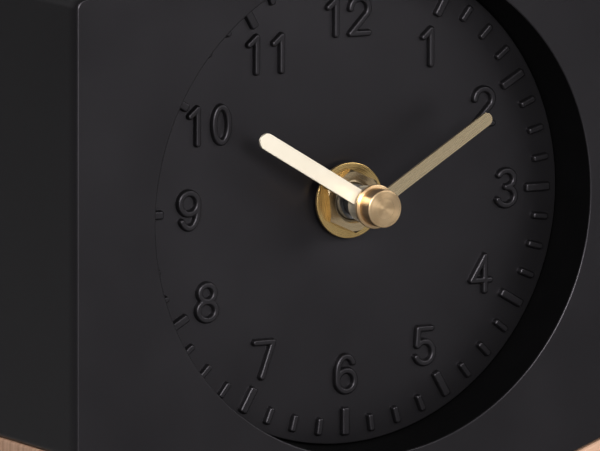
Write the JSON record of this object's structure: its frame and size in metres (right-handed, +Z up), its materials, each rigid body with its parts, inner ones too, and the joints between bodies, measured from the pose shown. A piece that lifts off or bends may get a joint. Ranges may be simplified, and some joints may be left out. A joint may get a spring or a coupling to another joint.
{
  "type": "desk clock",
  "caption": "Quartz desk clock: black six-sided case with a deep round dial recess and brass hands, standing in a vee-topped base of natural wood.",
  "frame": {"origin": "on the table, under the middle of the clock's box", "axes": "+Z up, the dial looks along -Y, +X to the right of someone facing the dial"},
  "size_m": [0.1146, 0.045, 0.1287],
  "materials": {
    "black_lacquer": "satin black lacquer over wood",
    "dial_black": "satin black with raised figures",
    "natural_wood": "pale natural wood, oiled",
    "rubber": "matt black rubber",
    "steel": "plain steel",
    "brass": "brushed brass",
    "movement_plastic": "moulded black plastic",
    "wheel_plastic": "moulded white plastic",
    "bobbin_plastic": "moulded grey plastic",
    "copper_wire": "enamelled copper winding",
    "magnet": "sintered magnet",
    "board": "phenolic board",
    "chip_resin": "black resin",
    "battery_sleeve": "plain printed sleeve, no words",
    "knob_plastic": "ribbed black plastic"
  },
  "bodies": {
    "clock": {"case_body": "black_lacquer", "dial_plate": "dial_black", "wooden_base": "natural_wood", "foot_pads": "rubber", "base_screws": "steel", "rubber_gasket": "rubber", "brass_washer": "brass", "hex_nut": "brass", "threaded_bushing": "steel", "movement_housing": "movement_plastic", "movement_cover": "movement_plastic", "stator": "steel", "coil_bobbin": "bobbin_plastic", "coil_winding": "copper_wire", "circuit_board": "board", "driver_chip": "chip_resin", "quartz_crystal": "steel", "battery_cell": "battery_sleeve", "positive_contact": "steel", "negative_contact": "steel"},
    "minute_motion": {"minute_shaft": "brass", "friction_spring": "steel", "minute_hand": "brass", "hand_cap": "brass"},
    "hour_motion": {"hour_wheel": "movement_plastic", "hour_hand": "brass"},
    "minute_wheel_motion": {"minute_wheel": "wheel_plastic"},
    "knob_motion": {"setting_knob": "knob_plastic"},
    "rotor_motion": {"rotor_arbor": "wheel_plastic", "rotor_magnet": "magnet"},
    "step_motion": {"step_wheel": "wheel_plastic"},
    "second_motion": {"second_wheel": "wheel_plastic"},
    "third_motion": {"third_wheel": "wheel_plastic"},
    "centre_motion": {"centre_wheel": "wheel_plastic"}
  },
  "joints": [
    {"name": "minute_turn", "type": "hinge", "parent": "clock", "child": "minute_motion", "pos_m": [0, -0.00895, 0.0699], "axis": [0, 1, 0], "continuous": true},
    {"name": "hour_turn", "type": "hinge", "parent": "clock", "child": "hour_motion", "pos_m": [0, -0.00895, 0.0699], "axis": [0, 1, 0], "continuous": true},
    {"name": "minute_wheel_turn", "type": "hinge", "parent": "clock", "child": "minute_wheel_motion", "pos_m": [-0.00866, -0.00895, 0.0749], "axis": [0, 1, 0], "continuous": true},
    {"name": "knob_turn", "type": "hinge", "parent": "clock", "child": "knob_motion", "pos_m": [-0.01732, -0.00895, 0.0799], "axis": [0, 1, 0], "continuous": true},
    {"name": "rotor_turn", "type": "hinge", "parent": "clock", "child": "rotor_motion", "pos_m": [0.00865, -0.00895, 0.08796], "axis": [0, 1, 0], "continuous": true},
    {"name": "step_turn", "type": "hinge", "parent": "clock", "child": "step_motion", "pos_m": [0.01593, -0.00895, 0.08376], "axis": [0, 1, 0], "continuous": true},
    {"name": "second_turn", "type": "hinge", "parent": "clock", "child": "second_motion", "pos_m": [0.01749, -0.00895, 0.0749], "axis": [0, 1, 0], "continuous": true},
    {"name": "third_turn", "type": "hinge", "parent": "clock", "child": "third_motion", "pos_m": [0.00764, -0.00895, 0.07754], "axis": [0, 1, 0], "continuous": true},
    {"name": "centre_turn", "type": "hinge", "parent": "clock", "child": "centre_motion", "pos_m": [0, -0.00895, 0.0699], "axis": [0, 1, 0], "continuous": true}
  ],
  "couplings": [
    {"joint": "hour_turn", "follows": "minute_turn", "ratio": 0.083333},
    {"joint": "minute_wheel_turn", "follows": "minute_turn", "ratio": -0.33333},
    {"joint": "knob_turn", "follows": "minute_turn", "ratio": 1},
    {"joint": "step_turn", "follows": "rotor_turn", "ratio": -0.16667},
    {"joint": "second_turn", "follows": "rotor_turn", "ratio": 0.033333},
    {"joint": "third_turn", "follows": "rotor_turn", "ratio": -0.0044444},
    {"joint": "centre_turn", "follows": "rotor_turn", "ratio": 0.00055556}
  ]
}
